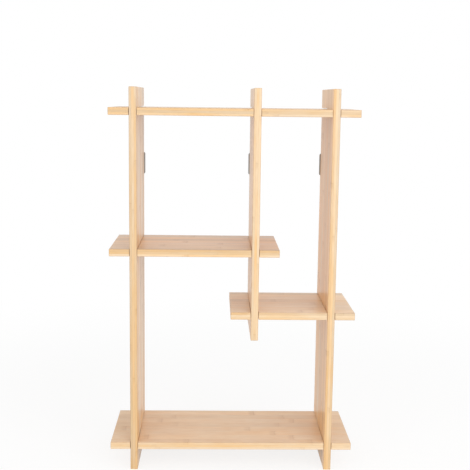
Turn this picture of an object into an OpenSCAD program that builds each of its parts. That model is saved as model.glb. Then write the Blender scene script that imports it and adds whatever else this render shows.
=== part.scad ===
// Wall shelf of halved bamboo boards.
// Three uprights and four shelves cross in nine lap joints, with no glue and no
// fittings between them. Each upright is notched from its rear edge and each
// shelf from its front edge, so the front edges of all boards end up flush and
// the wall keeps the shelves from sliding back out. A keyhole plate on the rear
// edge of every upright hangs the shelf on three wall screws.
//
// X runs to the right, Y to the wall and Z up. The origin lies on the floor
// under the middle of the shelf. Sizes are in millimetres.

/* [Boards] */
// Thickness of every board
board_t = 12; // [10:0.5:15]
// Depth of every board, from the front edge to the rear edge
board_depth = 155; // [120:1:200]
// Radius of the sanded edges
arris_r = 1; // [0.5:0.1:2]

/* [Bays] */
// Clear width between the left and the middle upright
left_bay_w = 185; // [130:0.5:260]
// Clear width between the middle and the right upright
right_bay_w = 113; // [90:0.5:180]
// Length of the shelf ends that stand out past the uprights
shelf_overhang = 33; // [15:0.5:45]
// Clear height from the bottom shelf up to the top shelf
bay_h = 538.5; // [500:0.5:620]
// Clear height from the bottom shelf up to the middle left shelf
left_shelf_rise = 313; // [280:1:340]
// Clear height from the bottom shelf up to the middle right shelf
right_shelf_rise = 210; // [150:1:240]

/* [Upright ends] */
// Height of the feet below the bottom shelf
foot_h = 35; // [20:0.5:60]
// Height of the posts above the top shelf
post_h = 32.5; // [20:0.5:50]
// Length of the middle upright below the middle right shelf
middle_tail_h = 35; // [20:0.5:60]

/* [Lap joints] */
// Depth of the notches in the shelves, from their front edge
shelf_notch_depth = 77.5; // [55:0.5:95]
// Clearance on each side of a board in its notch
joint_gap = 0.6; // [0.2:0.05:1]
// Clearance between the ends of two notches that meet
notch_end_gap = 0.3; // [0.1:0.05:0.6]

/* [Keyhole plates] */
// Distance from the top of the uprights down to the middle of the plates
plate_drop = 130; // [100:1:155]
// Width of a plate
plate_w = 16; // [14:0.5:20]
// Height of a plate
plate_h = 38; // [36:0.5:46]
// Thickness of the sheet steel
plate_t = 1.5; // [1:0.1:2]
// Radius of the corners of a plate
plate_corner_r = 3; // [1:0.5:5]
// Diameter of the round hole that a screw head goes through
entry_d = 8.5; // [7.5:0.1:8.8]
// Width of the slot that holds the shank of the screw
slot_w = 4.5; // [4:0.1:5]
// Travel from the middle of the round hole up to the middle of the slot's end
slot_travel = 8; // [6:0.1:9]
// Width of the pocket behind the keyhole, for the head of the screw
pocket_w = 9; // [8.8:0.1:9.5]
// Depth of the pocket in the board
pocket_depth = 8; // [6:0.5:12]

/* [Plate screws] */
// Distance between the two screws of a plate
screw_pitch = 29; // [28:0.5:30]
// Diameter of the shank
screw_d = 3; // [2.5:0.1:3.2]
// Diameter of the countersunk head
screw_head_d = 6; // [5.5:0.1:6.4]
// Overall length of a screw
screw_l = 13; // [10:0.5:20]
// Length of the point
screw_point_l = 3; // [2:0.5:4]
// Length of one arm of the cross recess, from the middle of the head
recess_arm = 1.6; // [1.2:0.1:2]
// Width of the arms of the cross recess
recess_w = 0.8; // [0.5:0.1:1]
// Depth of the cross recess
recess_depth = 1.2; // [0.8:0.1:1.4]
// Clearance around the shank in the board and in the plate
screw_gap = 0.15; // [0.1:0.05:0.3]
// Clearance between the head and its countersink
head_gap = 0.1; // [0.05:0.05:0.15]

/* [Hidden] */

// Smoothness of the small round features
$fn = 48;
// How far a cutter reaches past the surface that it cuts
cut = 1;

// Outer width, and the left faces of the boards
shelf_w = left_bay_w + right_bay_w + 3 * board_t + 2 * shelf_overhang;
left_x = -shelf_w / 2 + shelf_overhang;
middle_x = left_x + board_t + left_bay_w;
right_x = middle_x + board_t + right_bay_w;

// Front and rear edges of the boards. The plates stand out behind the boards,
// and the origin lies halfway between the front edges and the backs of the plates.
front_y = -(board_depth + plate_t) / 2;
rear_y = front_y + board_depth;

// Undersides of the shelves, and the ends of the uprights
bottom_z = foot_h;
bay_z = bottom_z + board_t;
middle_right_z = bay_z + right_shelf_rise;
middle_left_z = bay_z + left_shelf_rise;
top_z = bay_z + bay_h;
upright_top_z = top_z + board_t + post_h;
middle_tail_z = middle_right_z - middle_tail_h;

// Notches: a board is held with joint_gap on each side
notch_w = board_t + 2 * joint_gap;
// The end of the notches in the uprights, counted from the front edge
upright_notch_y = front_y + shelf_notch_depth - notch_end_gap;
shelf_notch_y = front_y + shelf_notch_depth;

// Keyhole, measured from the middle of the plate. The hole and the slot
// together are centred on the plate, with the round hole at the bottom.
plate_z = upright_top_z - plate_drop;
keyhole_h = entry_d / 2 + slot_travel + slot_w / 2;
entry_z = plate_z - keyhole_h / 2 + entry_d / 2;
slot_end_z = entry_z + slot_travel;

// Countersink of the plate: a cone at 45 degrees that ends on the hole
plate_hole_d = screw_d + 2 * screw_gap;
countersink_d = screw_head_d + 2 * head_gap;

// Rectangle from the origin to [w, h] with round corners
module rounded_rect(w, h, r) {
    for (x = [r, w - r], y = [r, h - r])
        translate([x, y])
            circle(r);
    translate([r, 0])
        square([w - 2 * r, h]);
    translate([0, r])
        square([w, h - 2 * r]);
}

// Board from the origin to size, with its edges sanded round on all sides.
// It is what three rounded slabs, one along each axis, have in common.
module eased_board(size) {
    intersection() {
        linear_extrude(size.z)
            rounded_rect(size.x, size.y, arris_r);
        translate([0, size.y, 0])
            rotate([90, 0, 0])
                linear_extrude(size.y)
                    rounded_rect(size.x, size.z, arris_r);
        rotate([90, 0, 90])
            linear_extrude(size.x)
                rounded_rect(size.y, size.z, arris_r);
    }
}

// Round-ended slot, upright in XZ, cut from y0 to y1 at x between z0 and z1
module upright_slot(x, y0, y1, z0, z1, w) {
    for (z = [z0, z1])
        translate([x, y0, z])
            rotate([-90, 0, 0])
                cylinder(d = w, h = y1 - y0);
    translate([x - w / 2, y0, z0])
        cube([w, y1 - y0, z1 - z0]);
}

// Upright with its left face at x, between the heights z0 and z1, with a notch
// over the underside of each shelf that it carries. The shelf rests on the
// bottom of its notch.
module upright(x, z0, z1, shelf_zs) {
    screw_x = x + board_t / 2;
    difference() {
        translate([x, front_y, z0])
            eased_board([board_t, board_depth, z1 - z0]);
        for (z = shelf_zs)
            translate([x - cut, upright_notch_y, z])
                cube([board_t + 2 * cut, rear_y - upright_notch_y + cut, notch_w]);
        upright_slot(screw_x, rear_y - pocket_depth, rear_y + cut, entry_z, slot_end_z, pocket_w);
        for (side = [-1, 1])
            translate([screw_x, rear_y + plate_t - screw_l - screw_gap, plate_z + side * screw_pitch / 2])
                rotate([-90, 0, 0])
                    cylinder(d = plate_hole_d, h = screw_l + cut);
    }
}

// Shelf from x0 to x1 with its underside at z, notched over each upright
module shelf(x0, x1, z, upright_xs) {
    difference() {
        translate([x0, front_y, z])
            eased_board([x1 - x0, board_depth, board_t]);
        for (x = upright_xs)
            translate([x - joint_gap, front_y - cut, z - cut])
                cube([notch_w, shelf_notch_y - front_y + cut, board_t + 2 * cut]);
    }
}

// Sheet steel plate on the rear edge of the upright at x
module keyhole_plate(x) {
    plate_x = x + board_t / 2;
    back_y = rear_y + plate_t;
    cone_h = (countersink_d - plate_hole_d) / 2;
    difference() {
        translate([plate_x - plate_w / 2, back_y, plate_z - plate_h / 2])
            rotate([90, 0, 0])
                linear_extrude(plate_t)
                    rounded_rect(plate_w, plate_h, plate_corner_r);
        translate([plate_x, rear_y - cut, entry_z])
            rotate([-90, 0, 0])
                cylinder(d = entry_d, h = plate_t + 2 * cut);
        upright_slot(plate_x, rear_y - cut, back_y + cut, entry_z, slot_end_z, slot_w);
        for (side = [-1, 1])
            translate([plate_x, 0, plate_z + side * screw_pitch / 2]) {
                translate([0, rear_y - cut, 0])
                    rotate([-90, 0, 0])
                        cylinder(d = plate_hole_d, h = plate_t + 2 * cut);
                translate([0, back_y - cone_h, 0])
                    rotate([-90, 0, 0])
                        cylinder(d1 = plate_hole_d, d2 = plate_hole_d + 2 * (cone_h + cut),
                                 h = cone_h + cut);
            }
    }
}

// Countersunk wood screw with its head level with the back of the plate.
// side is 1 for the upper screw of a plate and -1 for the lower one.
module plate_screw(x, side) {
    head_h = (screw_head_d - screw_d) / 2;
    translate([x + board_t / 2, rear_y + plate_t, plate_z + side * screw_pitch / 2])
        rotate([90, 0, 0])
            difference() {
                rotate_extrude()
                    polygon([
                        [0, 0],
                        [screw_head_d / 2, 0],
                        [screw_d / 2, head_h],
                        [screw_d / 2, screw_l - screw_point_l],
                        [0, screw_l]
                    ]);
                for (turn = [0, 90])
                    rotate([0, 0, turn])
                        translate([-recess_arm, -recess_w / 2, -cut])
                            cube([2 * recess_arm, recess_w, recess_depth + cut]);
            }
}

module left_upright() {
    color("#EBCB9C")
        upright(left_x, 0, upright_top_z, [bottom_z, middle_left_z, top_z]);
}

module middle_upright() {
    color("#EBCB9C")
        upright(middle_x, middle_tail_z, upright_top_z, [middle_right_z, middle_left_z, top_z]);
}

module right_upright() {
    color("#EBCB9C")
        upright(right_x, 0, upright_top_z, [bottom_z, middle_right_z, top_z]);
}

module top_shelf() {
    color("#E0BE92")
        shelf(-shelf_w / 2, shelf_w / 2, top_z, [left_x, middle_x, right_x]);
}

module middle_left_shelf() {
    color("#E0BE92")
        shelf(-shelf_w / 2, middle_x + board_t + shelf_overhang, middle_left_z, [left_x, middle_x]);
}

module middle_right_shelf() {
    color("#E0BE92")
        shelf(middle_x - shelf_overhang, shelf_w / 2, middle_right_z, [middle_x, right_x]);
}

module bottom_shelf() {
    color("#E0BE92")
        shelf(-shelf_w / 2, shelf_w / 2, bottom_z, [left_x, right_x]);
}

module left_keyhole_plate() {
    color("#A8A39C")
        keyhole_plate(left_x);
}

module middle_keyhole_plate() {
    color("#A8A39C")
        keyhole_plate(middle_x);
}

module right_keyhole_plate() {
    color("#A8A39C")
        keyhole_plate(right_x);
}

module left_plate_upper_screw() {
    color("#C9C6BE")
        plate_screw(left_x, 1);
}

module left_plate_lower_screw() {
    color("#C9C6BE")
        plate_screw(left_x, -1);
}

module middle_plate_upper_screw() {
    color("#C9C6BE")
        plate_screw(middle_x, 1);
}

module middle_plate_lower_screw() {
    color("#C9C6BE")
        plate_screw(middle_x, -1);
}

module right_plate_upper_screw() {
    color("#C9C6BE")
        plate_screw(right_x, 1);
}

module right_plate_lower_screw() {
    color("#C9C6BE")
        plate_screw(right_x, -1);
}

left_upright();
middle_upright();
right_upright();
top_shelf();
middle_left_shelf();
middle_right_shelf();
bottom_shelf();
left_keyhole_plate();
middle_keyhole_plate();
right_keyhole_plate();
left_plate_upper_screw();
left_plate_lower_screw();
middle_plate_upper_screw();
middle_plate_lower_screw();
right_plate_upper_screw();
right_plate_lower_screw();
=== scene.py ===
# Wall shelving unit of halved bamboo boards: the finish of every piece, threaded screws and the studio
import math
from typing import NamedTuple

import bpy
import numpy as np
from bpy.props import FloatProperty, FloatVectorProperty, PointerProperty
from mathutils import Matrix, Vector


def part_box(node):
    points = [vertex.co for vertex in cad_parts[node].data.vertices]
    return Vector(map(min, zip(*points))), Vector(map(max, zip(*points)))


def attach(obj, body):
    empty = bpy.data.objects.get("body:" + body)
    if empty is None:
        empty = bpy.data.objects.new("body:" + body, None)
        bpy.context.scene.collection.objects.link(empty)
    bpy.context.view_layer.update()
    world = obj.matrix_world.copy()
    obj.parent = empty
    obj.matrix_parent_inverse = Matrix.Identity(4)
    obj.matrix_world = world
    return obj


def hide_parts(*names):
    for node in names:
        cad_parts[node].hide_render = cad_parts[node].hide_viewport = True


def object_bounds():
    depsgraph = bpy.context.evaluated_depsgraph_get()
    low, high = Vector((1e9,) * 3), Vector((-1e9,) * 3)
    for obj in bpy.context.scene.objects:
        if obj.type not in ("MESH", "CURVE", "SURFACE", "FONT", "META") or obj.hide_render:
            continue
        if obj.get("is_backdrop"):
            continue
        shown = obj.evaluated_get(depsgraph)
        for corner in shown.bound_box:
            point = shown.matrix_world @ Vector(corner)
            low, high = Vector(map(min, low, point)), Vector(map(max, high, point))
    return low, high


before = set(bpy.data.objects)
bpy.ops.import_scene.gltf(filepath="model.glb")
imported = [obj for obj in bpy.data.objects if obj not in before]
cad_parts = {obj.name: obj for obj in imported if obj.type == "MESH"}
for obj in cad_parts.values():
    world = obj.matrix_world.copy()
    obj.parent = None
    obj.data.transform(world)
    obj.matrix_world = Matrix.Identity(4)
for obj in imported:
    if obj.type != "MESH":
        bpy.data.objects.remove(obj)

bl_info = {
    "name": "Bamboo Wall Shelf",
    "version": (1, 0, 0),
    "blender": (4, 5, 0),
    "location": "3D View > Sidebar > Shelving",
    "description": "Finishes a wall shelving unit of halved bamboo boards and sets up its studio",
    "category": "Object",
}

MM = 0.001
X_AXIS, Y_AXIS, Z_AXIS = 0, 1, 2

SIDES = ("left", "middle", "right")
UPRIGHTS = tuple(f"{side}_upright" for side in SIDES)
SHELVES = ("top_shelf", "middle_left_shelf", "middle_right_shelf", "bottom_shelf")
PLATES = tuple(f"{side}_keyhole_plate" for side in SIDES)

# Each plate screw, and how far the cross in its head is turned, in degrees
SCREWS = {
    "left_plate_upper_screw": 14,
    "left_plate_lower_screw": 61,
    "middle_plate_upper_screw": 37,
    "middle_plate_lower_screw": 3,
    "right_plate_upper_screw": 78,
    "right_plate_lower_screw": 49,
}


class Board(NamedTuple):
    """What sets the tone of one board apart from the colours of the look."""

    seed: int  # of the draw of its strips
    edge_level: float  # how light its narrow edges are
    face_level: float  # how light its wide faces are
    variety: float  # how much the strips of its wide faces differ
    honey: float  # how honey coloured its wide faces are
    # The pink is partly the faces' own tone and partly painted light: the cooler light and white sheen that
    # wide faces catch
    pink: float  # how pink its wide faces are
    lean: float  # how much more honey coloured it is at its foot or left end than at the other
    plies: tuple  # how honey coloured each ply is at the edges, from the left or from below


BOARDS = {
    "left_upright": Board(
        seed=464, edge_level=0.935, face_level=0.935, variety=1.15,
        honey=0.45, pink=0.25, lean=0.45, plies=(0.25, 1.1, 0.85),
    ),
    "middle_upright": Board(
        seed=761, edge_level=0.99, face_level=1.02, variety=1.0,
        honey=0.05, pink=0.55, lean=0.0, plies=(0.0, 0.0, -0.1),
    ),
    "right_upright": Board(
        seed=950, edge_level=0.97, face_level=1.02, variety=1.15,
        honey=0.95, pink=0.3, lean=0.35, plies=(0.55, 0.8, 0.35),
    ),
    "top_shelf": Board(
        seed=878, edge_level=0.93, face_level=0.93, variety=0.9,
        honey=0.5, pink=0.45, lean=0.35, plies=(0.05, 0.65, 0.15),
    ),
    "middle_left_shelf": Board(
        seed=864, edge_level=1.005, face_level=0.945, variety=1.15,
        honey=1.1, pink=0.9, lean=0.0, plies=(0.15, 0.6, 0.5),
    ),
    "middle_right_shelf": Board(
        seed=730, edge_level=0.955, face_level=0.965, variety=0.7,
        honey=0.0, pink=0.25, lean=0.0, plies=(0.2, 0.15, 0.25),
    ),
    "bottom_shelf": Board(
        seed=87, edge_level=1.09, face_level=1.035, variety=0.35,
        honey=0.15, pink=0.5, lean=0.1, plies=(0.1, 0.05, 0.1),
    ),
}


def from_display(red, green, blue):
    """A colour given as 0 to 255 on a display, as the linear values that Blender works in."""
    return tuple(((part / 255 + 0.055) / 1.055) ** 2.4 for part in (red, green, blue))


class BambooLook(bpy.types.PropertyGroup):
    """Colours and sizes of the laminated bamboo."""

    strip_width: FloatProperty(
        name="Strip width",
        description="Width of one bamboo strip across a board's face",
        default=19.4 * MM,
        min=5 * MM,
        max=60 * MM,
        subtype="DISTANCE",
        unit="LENGTH",
    )
    knuckle_spacing: FloatProperty(
        name="Knuckle spacing",
        description="Mean distance between two knuckles of the cane along one strip",
        default=230 * MM,
        min=60 * MM,
        max=600 * MM,
        subtype="DISTANCE",
        unit="LENGTH",
    )
    pale_colour: FloatVectorProperty(
        name="Pale strips",
        description="Colour of the strips from the inner wall of the cane",
        default=from_display(252, 225, 189),
        min=0,
        max=1,
        subtype="COLOR",
    )
    honey_colour: FloatVectorProperty(
        name="Honey strips",
        description="Colour of the strips from the outer wall of the cane",
        default=from_display(247, 206, 152),
        min=0,
        max=1,
        subtype="COLOR",
    )
    # Pink tint of the wide faces: partly the cane's own face tone and partly painted light, the cooler
    # light and white sheen that the wide faces catch
    face_colour_and_painted_light: FloatVectorProperty(
        name="Board faces",
        description="Pinker colour that the wide faces of the strips lean to",
        default=from_display(239, 205, 172),
        min=0,
        max=1,
        subtype="COLOR",
    )
    fibre_colour: FloatVectorProperty(
        name="Fibre bundles",
        description="Colour of the dark fibre bundles, knuckles and end grain",
        default=from_display(190, 142, 94),
        min=0,
        max=1,
        subtype="COLOR",
    )
    roughness: FloatProperty(
        name="Wood roughness",
        description="Roughness of the sanded wood under its lacquer, from 0 for glass to 1 for chalk",
        default=0.45,
        min=0.05,
        max=1,
        subtype="FACTOR",
    )
    lacquer: FloatProperty(
        name="Lacquer",
        description="Weight of the clear satin lacquer",
        default=0.3,
        min=0,
        max=1,
        subtype="FACTOR",
    )
    lacquer_roughness: FloatProperty(
        name="Lacquer roughness",
        description="Roughness of the clear satin lacquer, from 0 for glass to 1 for chalk",
        default=0.24,
        min=0,
        max=1,
        subtype="FACTOR",
    )


class SteelLook(bpy.types.PropertyGroup):
    """Colours of the zinc plated plates and screws, and the sizes of a screw's thread and recess."""

    plate_colour: FloatVectorProperty(
        name="Plate zinc",
        description="Colour of the dull zinc on the keyhole plates",
        default=from_display(174, 177, 178),
        min=0,
        max=1,
        subtype="COLOR",
    )
    screw_colour: FloatVectorProperty(
        name="Screw zinc",
        description="Colour of the brighter zinc on the screws",
        default=from_display(204, 206, 206),
        min=0,
        max=1,
        subtype="COLOR",
    )
    roughness: FloatProperty(
        name="Zinc roughness",
        description="Roughness of the zinc plating",
        default=0.36,
        min=0.05,
        max=1,
        subtype="FACTOR",
    )
    thread_width: FloatProperty(
        name="Thread width",
        description="Width of a plate screw over its thread",
        default=3 * MM,
        min=2 * MM,
        max=4 * MM,
        subtype="DISTANCE",
        unit="LENGTH",
    )
    core_width: FloatProperty(
        name="Core width",
        description="Width of a plate screw between its threads",
        default=2.1 * MM,
        min=1.2 * MM,
        max=3 * MM,
        subtype="DISTANCE",
        unit="LENGTH",
    )
    thread_pitch: FloatProperty(
        name="Thread pitch",
        description="Distance that a plate screw goes in with one turn",
        default=1.3 * MM,
        min=0.6 * MM,
        max=2.5 * MM,
        subtype="DISTANCE",
        unit="LENGTH",
    )
    point_length: FloatProperty(
        name="Point length",
        description="Length over which a plate screw narrows to its point",
        default=3 * MM,
        min=1 * MM,
        max=5 * MM,
        subtype="DISTANCE",
        unit="LENGTH",
    )
    recess_reach: FloatProperty(
        name="Recess reach",
        description="How far an arm of the cross recess reaches from the middle of the head",
        default=1.6 * MM,
        min=0.8 * MM,
        max=2.2 * MM,
        subtype="DISTANCE",
        unit="LENGTH",
    )
    recess_width: FloatProperty(
        name="Recess width",
        description="Width of an arm of the cross recess",
        default=0.8 * MM,
        min=0.3 * MM,
        max=1.2 * MM,
        subtype="DISTANCE",
        unit="LENGTH",
    )
    recess_depth: FloatProperty(
        name="Recess depth",
        description="Depth of the cross recess at the middle of the head",
        default=1.2 * MM,
        min=0.4 * MM,
        max=1.6 * MM,
        subtype="DISTANCE",
        unit="LENGTH",
    )


class StudioLook(bpy.types.PropertyGroup):
    """Camera lens and light levels of the studio."""

    lens: FloatProperty(
        name="Lens",
        description="Focal length in millimetres of the camera",
        default=68.517,
        min=20,
        max=200,
        subtype="DISTANCE_CAMERA",
        unit="CAMERA",
    )
    room_level: FloatProperty(
        name="Room light",
        description="Level of the even light from all round",
        default=0.6,
        min=0,
        max=2,
    )
    lamp_level: FloatProperty(
        name="Lamp light",
        description="Level that the two soft lamps add together on a surface that faces them",
        default=0.505,
        min=0,
        max=2,
    )
    floor_shadow: FloatProperty(
        name="Floor shadow",
        description="How much of the shadow the white floor shows, from 0 to 1",
        default=0.2,
        min=0,
        max=1,
        subtype="FACTOR",
    )


class Field:
    """One output of a shader node. Plain arithmetic on it adds Math nodes."""

    def __init__(self, graph, socket):
        self.graph = graph
        self.socket = socket

    def __add__(self, other):
        return self.graph.math("ADD", self, other)

    def __sub__(self, other):
        return self.graph.math("SUBTRACT", self, other)

    def __rsub__(self, other):
        return self.graph.math("SUBTRACT", other, self)

    def __mul__(self, other):
        return self.graph.math("MULTIPLY", self, other)

    def __truediv__(self, other):
        return self.graph.math("DIVIDE", self, other)

    def __rtruediv__(self, other):
        return self.graph.math("DIVIDE", other, self)

    def __abs__(self):
        return self.graph.math("ABSOLUTE", self)

    __radd__ = __add__
    __rmul__ = __mul__


# Share of a colour's green and of its blue that a full measure of warmth takes away
WARM_GREEN, WARM_BLUE = 0.06, 0.2

# How much of a bump's slope shows
BUMP_STRENGTH = 0.5


class Graph:
    """The node tree of one material or world."""

    def __init__(self, tree):
        self.tree = tree
        tree.nodes.clear()

    def node(self, kind, settings=(), sockets=()):
        """Adds a node, sets it up, gives its sockets values or links, and returns its outputs by name."""
        node = self.tree.nodes.new(kind)
        for name, value in dict(settings).items():
            setattr(node, name, value)
        inputs = {socket.identifier: socket for socket in node.inputs}
        for name, value in dict(sockets).items():
            if isinstance(value, Field):
                self.tree.links.new(value.socket, inputs[name])
            else:
                inputs[name].default_value = value
        return {socket.identifier: Field(self, socket) for socket in node.outputs}

    def math(self, operation, *values):
        sockets = zip(("Value", "Value_001", "Value_002"), values)
        return self.node("ShaderNodeMath", {"operation": operation}, sockets)["Value"]

    def floor(self, value):
        return self.math("FLOOR", value)

    def fraction(self, value):
        return self.math("FRACT", value)

    def least(self, first, second):
        return self.math("MINIMUM", first, second)

    def most(self, first, second):
        return self.math("MAXIMUM", first, second)

    def fade(self, value, start, end):
        """A smooth rise from 0 at start to 1 at end and level outside, whichever of the two is lower."""
        sockets = {"Value": value, "From Min": start, "From Max": end}
        return self.node("ShaderNodeMapRange", {"interpolation_type": "SMOOTHSTEP"}, sockets)["Result"]

    def pick(self, number, choices):
        """The choice whose place in the list the number gives, counted from 0."""
        same = [self.math("COMPARE", number, place, 0.5) for place in range(len(choices))]
        return sum(here * choice for here, choice in zip(same, choices))

    def vector(self, x, y, z):
        return self.node("ShaderNodeCombineXYZ", (), {"X": x, "Y": y, "Z": z})["Vector"]

    def parts(self, vector):
        outputs = self.node("ShaderNodeSeparateXYZ", (), {"Vector": vector})
        return outputs["X"], outputs["Y"], outputs["Z"]

    def draw(self, *keys):
        """Four random values from 0 to 1 that hold wherever the three keys hold."""
        sockets = {"Vector": self.vector(*keys)}
        outputs = self.node("ShaderNodeTexWhiteNoise", {"noise_dimensions": "3D"}, sockets)
        return (outputs["Value"],) + self.parts(outputs["Color"])

    def noise(self, vector, seed, detail=2.0, roughness=0.5):
        """Smooth noise from about -0.5 to 0.5, with features about one unit of the vector across."""
        sockets = {"Vector": vector, "W": seed, "Scale": 1.0, "Detail": detail, "Roughness": roughness}
        return self.node("ShaderNodeTexNoise", {"noise_dimensions": "4D"}, sockets)["Fac"] - 0.5

    def cells(self, vector, randomness):
        """Distance to the nearest of the points scattered one to each unit of the vector."""
        sockets = {"Vector": vector, "Scale": 1.0, "Randomness": randomness}
        return self.node("ShaderNodeTexVoronoi", {"voronoi_dimensions": "3D"}, sockets)["Distance"]

    def blend(self, factor, first, second):
        """The first colour where the factor is 0 and the second where it is 1."""
        sockets = {"Factor_Float": factor, "A_Color": first, "B_Color": second}
        return self.node("ShaderNodeMix", {"data_type": "RGBA"}, sockets)["Result_Color"]

    def shade(self, colour, level):
        """The colour made lighter or darker by a factor."""
        sockets = {"Vector": colour, "Scale": level}
        return self.node("ShaderNodeVectorMath", {"operation": "SCALE"}, sockets)["Vector"]

    def warm(self, colour, amount):
        """The colour with less blue and a little less green, or with more where the amount is under 0."""
        share = self.vector(1.0, 1 - amount * WARM_GREEN, 1 - amount * WARM_BLUE)
        sockets = {"Vector": colour, "Vector_001": share}
        return self.node("ShaderNodeVectorMath", {"operation": "MULTIPLY"}, sockets)["Vector"]

    def surface(self, height, depth, sockets):
        """Ends the material in a Principled surface with a bump, where a height of 1 is the depth."""
        bump = {"Height": height, "Strength": BUMP_STRENGTH, "Distance": depth}
        normal = self.node("ShaderNodeBump", (), bump)["Normal"]
        shader = self.node("ShaderNodeBsdfPrincipled", (), {**sockets, "Normal": normal})["BSDF"]
        self.node("ShaderNodeOutputMaterial", (), {"Surface": shader})


def new_graph(name):
    """A new material and its emptied node tree."""
    material = bpy.data.materials.new(name)
    material.use_nodes = True
    return material, Graph(material.node_tree)


def opaque(colour):
    """A colour with the fourth part that a colour socket holds."""
    return (*colour, 1.0)


# Where end grain and a wide face begin and are full, as the part of the normal along the board's own axis
END_GRAIN = (0.55, 0.85)
WIDE_FACE = (0.3, 0.75)

# Where the painted shade on an arris begins and is full, as the largest part of the normal along any axis
PAINTED_SHADE_ON_ARRIS = (0.99, 0.86)

# The bamboo's patterns: millimetres along the grain and across it for one feature, and a key of its own
FIBRE = (55, 0.6, 0)
STREAK = (130, 4, 7)
PATCH = (40, 14, 13)
DRIFT = (190, 60, 17)
WANDER = (60, 9, 19)
RIPPLE = (30, 5, 29)
SWELL = (5, 2.5, 37)

# How far these patterns move a knuckle's line, the fibres beside it and the fibre bundles, in millimetres
RIPPLE_MOVE = 5
SWELL_MOVE = 3
WANDER_MOVE = 1.2

# How near to its middle a knuckle's line, the shaded band beside it and a glue line begin to show and are
# full, and how far the middle of the band lies from the line, in millimetres
KNUCKLE_LINE = (1.3, 0.2)
KNUCKLE_BAND = (9.0, 1.0)
GLUE_LINE = (0.24, 0.04)
BAND_SHIFT = 3

# Share of their mean distance by which the knuckles' distance differs from strip to strip
KNUCKLE_SCATTER = 0.5

# Millimetres along the grain and across it for each fibre bundle, and how irregularly they lie, up to 1
BUNDLE_SPACING = (26, 0.85)
BUNDLE_SCATTER = 0.9

# How far from its middle a bundle begins to show and is full, in spacings, on the side of a ply where they
# are small, and how much further on its other side
BUNDLE_EDGE, BUNDLE_CORE = 0.34, 0.1
EDGE_GROWTH, CORE_GROWTH = 0.14, 0.06

# How honey coloured cane is reckoned to be when it shows all pale and when it shows all honey coloured
HONEY_RANGE = (-0.1, 1.1)

# How much of the knuckles and of the shading the edges show, beside 1 on the wide faces, and how much of
# the changes in warmth the wide faces and the edges show
EDGE_KNUCKLES = 0.5
EDGE_SHADING = 0.6
FACE_WARMTH, EDGE_WARMTH = 1.4, 0.4

# Scale of the depth, a hair under 1 so that a board's wide faces lie inside its outer plies
PLY_INSET = 0.998

# A third key for the draw of a ply, and how far apart the strips lie in the noise
PLY_KEY = 0.5
STRIP_SPREAD = 90

# Specular level of the wood under its lacquer, and the depth that a height of 1 in its grain stands for
WOOD_GLOSS = 0.35
GRAIN_DEPTH = 0.03 * MM


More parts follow.
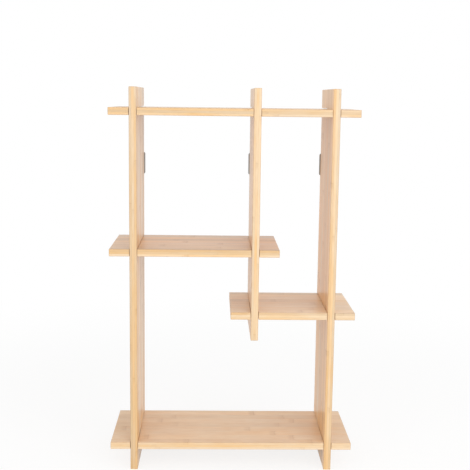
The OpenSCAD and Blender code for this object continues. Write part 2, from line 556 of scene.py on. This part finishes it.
def bamboo(name, grain, thick, look):
    """A board glued from three plies of flat cane strips, worked out right through the solid board.

    Lengths are in millimetres: along the grain, across the board from its front edge, and deep from its
    middle. Each pattern is noise drawn out along the grain, and the numbers in the sums below are how much
    each pattern counts.
    """
    low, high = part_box(name)
    board = BOARDS[name]
    plies = len(board.plies)
    material, graph = new_graph(f"{name}_bamboo")
    place = graph.node("ShaderNodeTexCoord")
    point = graph.parts(place["Object"])
    facing = [abs(part) for part in graph.parts(place["Normal"])]
    end_grain = graph.fade(facing[grain], *END_GRAIN)
    wide_face = graph.fade(facing[thick], *WIDE_FACE)
    # Mask for the painted shade on the arrises
    painted_arris_shade = graph.fade(graph.most(graph.most(*facing[:2]), facing[2]), *PAINTED_SHADE_ON_ARRIS)

    along = (point[grain] - low[grain]) / MM
    across = (point[Y_AXIS] - low[Y_AXIS]) / MM
    deep = (point[thick] - (low[thick] + high[thick]) / 2) / MM
    end_honey = (0.5 - along / ((high[grain] - low[grain]) / MM)) * board.lean
    ply_t = (high[thick] - low[thick]) / MM / plies
    strip_w = look.strip_width / MM
    spacing = look.knuckle_spacing / MM

    def by_side(face, edge):
        return wide_face * (face - edge) + edge

    # Which ply and which of its strips a point is in, and what is drawn for each of them
    level = deep * (PLY_INSET / ply_t) + plies / 2
    ply = graph.floor(level)
    ply_offset, ply_tone = graph.draw(ply, board.seed, PLY_KEY)[:2]
    lane = across / strip_w + ply_offset
    strip = graph.floor(lane)
    tint, tone, phase, warmth = graph.draw(strip, ply, board.seed)
    own = tint * STRIP_SPREAD
    differing = by_side(board.variety, 1)
    lighter = (tone - 0.5) * differing
    warmer = (warmth - 0.5) * differing

    def pattern(kind, side=across, detail=2.0, roughness=0.5):
        stretch, width, key = kind
        spot = graph.vector(along / stretch, side / width, deep / width)
        return graph.noise(spot, own + key, detail, roughness)

    # Knuckles: a thin wavy line across one strip inside a shaded band, where the fibres swell and cross
    length = (tone * KNUCKLE_SCATTER + (1 - KNUCKLE_SCATTER / 2)) * spacing
    to_knuckle = (graph.fraction(along / length + phase) - 0.5) * length + pattern(RIPPLE) * RIPPLE_MOVE
    knuckle_line = graph.fade(abs(to_knuckle), *KNUCKLE_LINE)
    knuckle_band = graph.fade(abs(to_knuckle + BAND_SHIFT), *KNUCKLE_BAND)
    bent = across + pattern(SWELL) * knuckle_band * SWELL_MOVE

    # Fine fibres, broader streaks, cloudy patches and a slow drift of tone
    fibre = pattern(FIBRE, bent, detail=3.0, roughness=0.65)
    streak = pattern(STREAK, bent) * differing
    patch = pattern(PATCH)
    drift = pattern(DRIFT) * differing

    # Fibre bundles are dots in the end grain and long dashes on the faces, and grow larger across each ply
    through = graph.fraction(level)
    bundle_length, bundle_width = BUNDLE_SPACING
    bundle_side = (bent + pattern(WANDER) * WANDER_MOVE) / bundle_width
    bundle_spot = graph.vector(along / bundle_length, bundle_side, deep / bundle_width)
    from_bundle = graph.cells(bundle_spot, BUNDLE_SCATTER)
    edge, core = through * EDGE_GROWTH + BUNDLE_EDGE, through * CORE_GROWTH + BUNDLE_CORE
    bundle = graph.fade(from_bundle, edge, core)

    # Glue lines between strips and between plies
    to_seam = (0.5 - abs(graph.fraction(lane) - 0.5)) * strip_w
    to_ply_seam = abs(abs(deep) - ply_t / 2)
    seam = graph.fade(graph.least(to_seam, to_ply_seam), *GLUE_LINE)

    # Cane from pale to honey coloured, pinker on the wide faces partly as painted light, then its dark
    # marks and the painted shade on its arrises
    honey = by_side(board.honey, graph.pick(ply, board.plies))
    honey = honey + warmer * 0.9 + drift * 2 + patch + streak * 0.9 + end_honey
    honey = graph.fade(honey, *HONEY_RANGE)
    colour = graph.blend(honey, opaque(look.pale_colour), opaque(look.honey_colour))
    # The pink on the wide faces is partly the cane's own face tone and partly painted light: the cooler
    # light and white sheen that the wide faces catch
    blush_and_painted_light = wide_face * (warmer * 0.3 + patch * 0.6 + board.pink)
    colour = graph.blend(blush_and_painted_light, colour, opaque(look.face_colour_and_painted_light))
    knuckle = (knuckle_line * 0.16 + knuckle_band * 0.17) * by_side(1, EDGE_KNUCKLES) * (tint + 0.5)
    # The arrises are darkened towards the fibre colour as painted shade, on top of the real knuckles,
    # bundles, glue lines and end grain
    marks_and_painted_shade = knuckle + bundle * (end_grain * 0.25 + 0.2) + seam * 0.25 + end_grain * 0.16 + painted_arris_shade * 0.32
    colour = graph.blend(marks_and_painted_shade, colour, opaque(look.fibre_colour))

    # How warm and how light it is, with less change on the edges than on the wide faces
    warmth_change = (warmer * 0.7 + drift * 3 + patch) * by_side(FACE_WARMTH, EDGE_WARMTH)
    colour = graph.warm(colour, warmth_change + end_honey)
    shading = lighter * 0.22 + (ply_tone - 0.5) * 0.12 + fibre * 0.24 + streak * 0.24 + drift * 0.35
    shading = shading * by_side(1, EDGE_SHADING) + by_side(board.face_level, board.edge_level)
    colour = graph.shade(colour, shading)

    height = fibre * 0.7 - bundle * 0.25 - seam * 0.8 + knuckle_band * 0.5 - knuckle_line * 0.6
    graph.surface(height, GRAIN_DEPTH, {
        "Base Color": colour,
        "Roughness": fibre * 0.12 + bundle * 0.05 + end_grain * 0.12 + look.roughness,
        "Specular IOR Level": WOOD_GLOSS,
        "Coat Weight": look.lacquer,
        "Coat Roughness": look.lacquer_roughness,
    })
    return material


# The zinc's patterns: how far from side to side and up and down one feature reaches, and a key of its own
CLOUD = (7 * MM, 9 * MM, 3)
SPECK = (0.5 * MM, 0.5 * MM, 5)
ROLLING = (0.25 * MM, 14 * MM, 8)

# Where the cloud begins to be a dull patch and is a full one, and how light such a patch is beside the rest
DULLING = (-0.25, 0.25)
DULL_SHARE = 0.8

# The depth that a height of 1 in the zinc stands for
ROLLING_DEPTH = 0.02 * MM


def zinc(name, colour, roughness, rolled):
    """Zinc plating with cloudy dull patches and, where rolled is 1, fine rolling lines up and down.

    As in the bamboo, the numbers in the sums are how much each pattern counts.
    """
    material, graph = new_graph(name)
    x, y, z = graph.parts(graph.node("ShaderNodeTexCoord")["Object"])

    def pattern(kind, detail=2.0, rough=0.5):
        width, tall, key = kind
        return graph.noise(graph.vector(x / width, y / width, z / tall), key, detail, rough)

    cloud = pattern(CLOUD, detail=4.0, rough=0.6)
    speck = pattern(SPECK)
    lines = pattern(ROLLING)
    dull = tuple(part * DULL_SHARE for part in colour)
    tint = graph.blend(graph.fade(cloud, *DULLING), opaque(colour), opaque(dull))
    graph.surface(speck * 0.5 + lines * rolled, ROLLING_DEPTH, {
        "Base Color": graph.shade(tint, speck * 0.12 + lines * (0.16 * rolled) + 1.0),
        "Metallic": 1.0,
        "Roughness": cloud * 0.25 + speck * 0.1 + roughness,
    })
    return material


def finish_node(name, material):
    """Puts a finish on a piece of the frame, whose shape stays as it is."""
    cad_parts[name].material_slots[0].material = material


class SHELVING_OT_finish_uprights(bpy.types.Operator):
    """Give the three upright boards their bamboo, with the grain running up"""

    bl_idname = "shelving.finish_uprights"
    bl_label = "Finish Uprights"

    def execute(self, context):
        for name in UPRIGHTS:
            finish_node(name, bamboo(name, Z_AXIS, X_AXIS, context.scene.bamboo_look))
        return {"FINISHED"}


class SHELVING_OT_finish_shelves(bpy.types.Operator):
    """Give the four shelf boards their bamboo, with the grain running from side to side"""

    bl_idname = "shelving.finish_shelves"
    bl_label = "Finish Shelves"

    def execute(self, context):
        for name in SHELVES:
            finish_node(name, bamboo(name, X_AXIS, Z_AXIS, context.scene.bamboo_look))
        return {"FINISHED"}


class SHELVING_OT_finish_hanger_plates(bpy.types.Operator):
    """Give the three keyhole plates their rolled zinc"""

    bl_idname = "shelving.finish_hanger_plates"
    bl_label = "Finish Hanger Plates"

    def execute(self, context):
        look = context.scene.steel_look
        material = zinc("plate_zinc", look.plate_colour, look.roughness, rolled=1.0)
        for name in PLATES:
            finish_node(name, material)
        return {"FINISHED"}


# Columns round a screw and rows on its face and its shank
SCREW_COLUMNS = 96
FACE_ROWS = 24
SHANK_ROWS = 104

# Round of the head's rim and slope of the recess's walls
RIM = 0.06 * MM
WALL_SLOPE = 0.12 * MM

# The innermost ring's radius as a share of the face's, and the share of its depth that the recess loses
# from the middle to the end of its reach
INNER_RING = 0.02
ARM_RISE = 0.45

# Half the width of a thread beside its pitch, and how high it would stand if its crest weren't cut flat
THREAD_SPREAD = 0.3
UNCUT_CREST = 1.15

# Edges that turn more than this many degrees stay sharp
SHARP_TURN = 32

# How rough the screws' zinc is beside the plates'
SCREW_POLISH = 0.8


def closed_grid(name, points, start, end):
    """A mesh of rows of points, each a closed ring, whose first and last rings close onto an end point.

    A square joins points row i, column j to row i + 1, column j + 1, and columns run round to column 0.
    """
    rows, columns = points.shape[:2]
    ring = np.arange(columns)
    after = np.roll(ring, -1)
    first = np.arange(rows - 1)[:, None] * columns
    corners = [first + ring, first + after, first + columns + after, first + columns + ring]
    squares = np.stack(corners, axis=-1)
    last = (rows - 1) * columns
    start_fan = np.stack([np.full(columns, rows * columns), after, ring], axis=-1)
    end_fan = np.stack([np.full(columns, rows * columns + 1), last + ring, last + after], axis=-1)
    places = np.concatenate([points.reshape(-1, 3), [start, end]])
    faces = squares.reshape(-1, 4).tolist() + start_fan.tolist() + end_fan.tolist()
    mesh = bpy.data.meshes.new(name)
    mesh.from_pydata(places.tolist(), [], faces)
    mesh.shade_smooth()
    mesh.set_sharp_from_angle(angle=math.radians(SHARP_TURN))
    return mesh


def screw_profile(head_r, length, turn, look):
    """Radius and depth from the head's face of each point of a countersunk screw, and the columns' angles.

    Rows run from the face to the point. On the face the depth is that of a cross: the recess depth, less a
    share that grows with the radius, wherever the smaller of the two distances to the arms' middle lines is
    under half an arm's width and the larger is under the arm's reach, with a short slope at both limits. On
    the cone the radius falls as the depth grows. On the shank it is the core's radius plus a ridge, highest
    where the fraction of depth / pitch - angle / full turn is a half, and both shrink in a straight line to
    nothing over the point.
    """
    thread_r, core_r = look.thread_width / 2, look.core_width / 2
    angle = np.linspace(0, math.tau, SCREW_COLUMNS, endpoint=False)

    face_r = np.linspace(INNER_RING, 1, FACE_ROWS)[:, None] * (head_r - RIM) + 0 * angle
    side = face_r * np.abs(np.cos(angle - turn))
    front = face_r * np.abs(np.sin(angle - turn))
    in_width = np.clip((look.recess_width / 2 - np.minimum(side, front)) / WALL_SLOPE + 0.5, 0, 1)
    in_reach = np.clip((look.recess_reach - np.maximum(side, front)) / WALL_SLOPE + 0.5, 0, 1)
    slant = 1 - ARM_RISE * face_r / look.recess_reach
    face_depth = look.recess_depth * slant * in_width * in_reach

    cone_r = np.array([head_r - RIM / 3, head_r - RIM, core_r])[:, None] + 0 * angle
    cone_depth = np.array([RIM / 3, RIM * 1.5, head_r - core_r])[:, None] + 0 * angle

    shank_depth = np.linspace(head_r - core_r, length, SHANK_ROWS + 1)[1:-1, None] + 0 * angle
    phase = (shank_depth / look.thread_pitch - angle / math.tau) % 1
    ridge = np.clip(UNCUT_CREST - np.abs(phase - 0.5) / THREAD_SPREAD * UNCUT_CREST, 0, 1)
    start = np.clip((shank_depth - head_r) / look.thread_pitch, 0, 1)
    taper = np.clip((length - shank_depth) / look.point_length, 0, 1)
    shank_r = taper * (core_r + (thread_r - core_r) * ridge * start)

    radius = np.concatenate([face_r, cone_r, shank_r])
    depth = np.concatenate([face_depth, cone_depth, shank_depth])
    return radius, depth, angle


class SHELVING_OT_make_plate_screws(bpy.types.Operator):
    """Make the six countersunk screws of the plates, with thread and cross recess, in bright zinc"""

    bl_idname = "shelving.make_plate_screws"
    bl_label = "Make Plate Screws"

    def execute(self, context):
        look = context.scene.steel_look
        material = zinc("screw_zinc", look.screw_colour, look.roughness * SCREW_POLISH, rolled=0.0)
        for name, turn in SCREWS.items():
            low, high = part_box(name)
            middle = (low + high) / 2
            head_r, length = high.z - middle.z, high.y - low.y
            radius, depth, angle = screw_profile(head_r, length, math.radians(turn), look)
            x = middle.x + radius * np.cos(angle)
            z = middle.z + radius * np.sin(angle)
            points = np.stack([x, high.y - depth, z], axis=-1)
            face_middle = (middle.x, high.y - look.recess_depth, middle.z)
            mesh = closed_grid(f"{name}_threaded", points, face_middle, (middle.x, low.y, middle.z))
            mesh.materials.append(material)
            screw = bpy.data.objects.new(mesh.name, mesh)
            context.scene.collection.objects.link(screw)
            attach(screw, "root")
            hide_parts(name)
        return {"FINISHED"}


# Where the camera stands, in metres, and how it is turned, tipped down and rolled, in degrees
EYE = Vector((-0.0312, -1.4975, 0.6125))
EYE_TURN = 1.354
EYE_DOWN = 8.648
EYE_ROLL = 0.710

# The floor's width in metres, how much light it throws back, and how far from its middle, in metres, the
# shadow begins to fade and is gone
FLOOR_SIZE = 12.0
FLOOR_WHITE = 0.86
SHADOW_FADE = (0.45, 1.3)

# The lamps' width, how far out and how high they stand, in metres, and for each its bearing to the right of
# straight ahead, in degrees, and its share of their light
LAMP_SIZE = 2.4
LAMP_DISTANCE = 2.8
LAMP_HEIGHT = 1.7
LAMP_SIDES = ((-34, 0.36), (36, 0.64))


def seen_rays(graph):
    """1 for the rays that show the camera the studio, straight or through a reflection, and 0 for light."""
    rays = graph.node("ShaderNodeLightPath")
    return graph.most(graph.most(rays["Is Camera Ray"], rays["Is Glossy Ray"]), rays["Is Transmission Ray"])


def add_floor(shadow, open_level):
    """A floor that the camera sees as white, less part of the shadow close to the shelves.

    Near the shelves it is the shadow's share of the lit floor on top of a steady glow, and the glow is what
    brings the floor in open light to white. Further out it is plain white.
    """
    half = FLOOR_SIZE / 2
    mesh = bpy.data.meshes.new("floor")
    corners = [(-half, -half, 0), (half, -half, 0), (half, half, 0), (-half, half, 0)]
    mesh.from_pydata(corners, [], [(0, 1, 2, 3)])
    material, graph = new_graph("floor_white")

    def lit(white):
        return graph.node("ShaderNodeBsdfDiffuse", (), {"Color": opaque((white,) * 3)})["BSDF"]

    def glow(strength):
        return graph.node("ShaderNodeEmission", (), {"Strength": strength})["Emission"]

    def mixed(factor, first, second):
        sockets = {"Fac": factor, "Shader": first, "Shader_001": second}
        return graph.node("ShaderNodeMixShader", (), sockets)["Shader"]

    near_sockets = {"Shader": lit(shadow), "Shader_001": glow(1 - shadow * open_level)}
    near = graph.node("ShaderNodeAddShader", (), near_sockets)["Shader"]
    x, y = graph.parts(graph.node("ShaderNodeTexCoord")["Object"])[:2]
    out = graph.math("SQRT", x * x + y * y)
    seen = mixed(graph.fade(out, *SHADOW_FADE), near, glow(1.0))
    graph.node("ShaderNodeOutputMaterial", (), {"Surface": mixed(seen_rays(graph), lit(FLOOR_WHITE), seen)})
    mesh.materials.append(material)
    floor = bpy.data.objects.new("floor", mesh)
    bpy.context.scene.collection.objects.link(floor)
    floor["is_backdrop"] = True


def add_room(level):
    """An even light from all round, which the camera and reflections see as plain white."""
    world = bpy.data.worlds.new("studio")
    world.use_nodes = True
    graph = Graph(world.node_tree)
    sockets = {"Color": opaque((1, 1, 1)), "Strength": seen_rays(graph) * (1 - level) + level}
    light = graph.node("ShaderNodeBackground", (), sockets)["Background"]
    graph.node("ShaderNodeOutputWorld", (), {"Surface": light})
    bpy.context.scene.world = world


def add_lamps(level, target):
    """Soft square lamps to the left and right of the camera, whose power gives the level at the shelves.

    The power is level times share times pi squared times the distance squared, as for small lamps. Lamps as
    wide as these give about a sixth less.
    """
    for number, (bearing, share) in enumerate(LAMP_SIDES):
        turn = math.radians(bearing)
        place = Vector((math.sin(turn) * LAMP_DISTANCE, -math.cos(turn) * LAMP_DISTANCE, LAMP_HEIGHT))
        reach = target - place
        lamp = bpy.data.lights.new(f"lamp_{number}", "AREA")
        lamp.size = LAMP_SIZE
        lamp.energy = level * share * math.pi ** 2 * reach.length_squared
        stand = bpy.data.objects.new(lamp.name, lamp)
        stand.matrix_world = Matrix.Translation(place) @ reach.to_track_quat("-Z", "Y").to_matrix().to_4x4()
        bpy.context.scene.collection.objects.link(stand)


def add_camera(lens):
    """The camera of the studio, a little left of the middle and looking down on the shelves."""
    data = bpy.data.cameras.new("camera")
    data.lens = lens
    camera = bpy.data.objects.new("camera", data)
    turn = Matrix.Rotation(-math.radians(EYE_TURN), 4, "Z")
    tip = Matrix.Rotation(math.radians(90 - EYE_DOWN), 4, "X")
    roll = Matrix.Rotation(math.radians(EYE_ROLL), 4, "Z")
    camera.matrix_world = Matrix.Translation(EYE) @ turn @ tip @ roll
    bpy.context.scene.collection.objects.link(camera)
    bpy.context.scene.camera = camera


class SHELVING_OT_set_studio(bpy.types.Operator):
    """Set the white floor, the even room light, the two soft lamps and the camera"""

    bl_idname = "shelving.set_studio"
    bl_label = "Set Studio"

    def execute(self, context):
        look = context.scene.studio_look
        low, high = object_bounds()
        on_floor = LAMP_HEIGHT / math.hypot(LAMP_HEIGHT, LAMP_DISTANCE)
        add_floor(look.floor_shadow, look.room_level + look.lamp_level * on_floor)
        add_room(look.room_level)
        add_lamps(look.lamp_level, (low + high) / 2)
        add_camera(look.lens)
        context.scene.view_settings.view_transform = "Standard"
        return {"FINISHED"}


STEPS = (
    SHELVING_OT_finish_uprights,
    SHELVING_OT_finish_shelves,
    SHELVING_OT_finish_hanger_plates,
    SHELVING_OT_make_plate_screws,
    SHELVING_OT_set_studio,
)


class SHELVING_PT_panel(bpy.types.Panel):
    """Lists the steps in order, with the sizes and colours that they use"""

    bl_idname = "SHELVING_PT_panel"
    bl_label = "Bamboo Wall Shelf"
    bl_space_type = "VIEW_3D"
    bl_region_type = "UI"
    bl_category = "Shelving"

    def draw(self, context):
        column = self.layout.column(align=True)
        for step in STEPS:
            column.operator(step.bl_idname)
        for look in (context.scene.bamboo_look, context.scene.steel_look, context.scene.studio_look):
            box = self.layout.box()
            for name in look.bl_rna.properties.keys():
                if name not in ("rna_type", "name"):
                    box.prop(look, name)


LOOKS = {"bamboo_look": BambooLook, "steel_look": SteelLook, "studio_look": StudioLook}
CLASSES = (*LOOKS.values(), *STEPS, SHELVING_PT_panel)


def register():
    for each in CLASSES:
        bpy.utils.register_class(each)
    for name, look in LOOKS.items():
        setattr(bpy.types.Scene, name, PointerProperty(type=look))


def unregister():
    for name in LOOKS:
        delattr(bpy.types.Scene, name)
    for each in reversed(CLASSES):
        bpy.utils.unregister_class(each)


def main():
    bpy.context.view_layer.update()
    register()
    bpy.ops.shelving.finish_uprights()
    bpy.ops.shelving.finish_shelves()
    bpy.ops.shelving.finish_hanger_plates()
    bpy.ops.shelving.make_plate_screws()
    bpy.ops.shelving.set_studio()


if __name__ == "__main__":
    main()
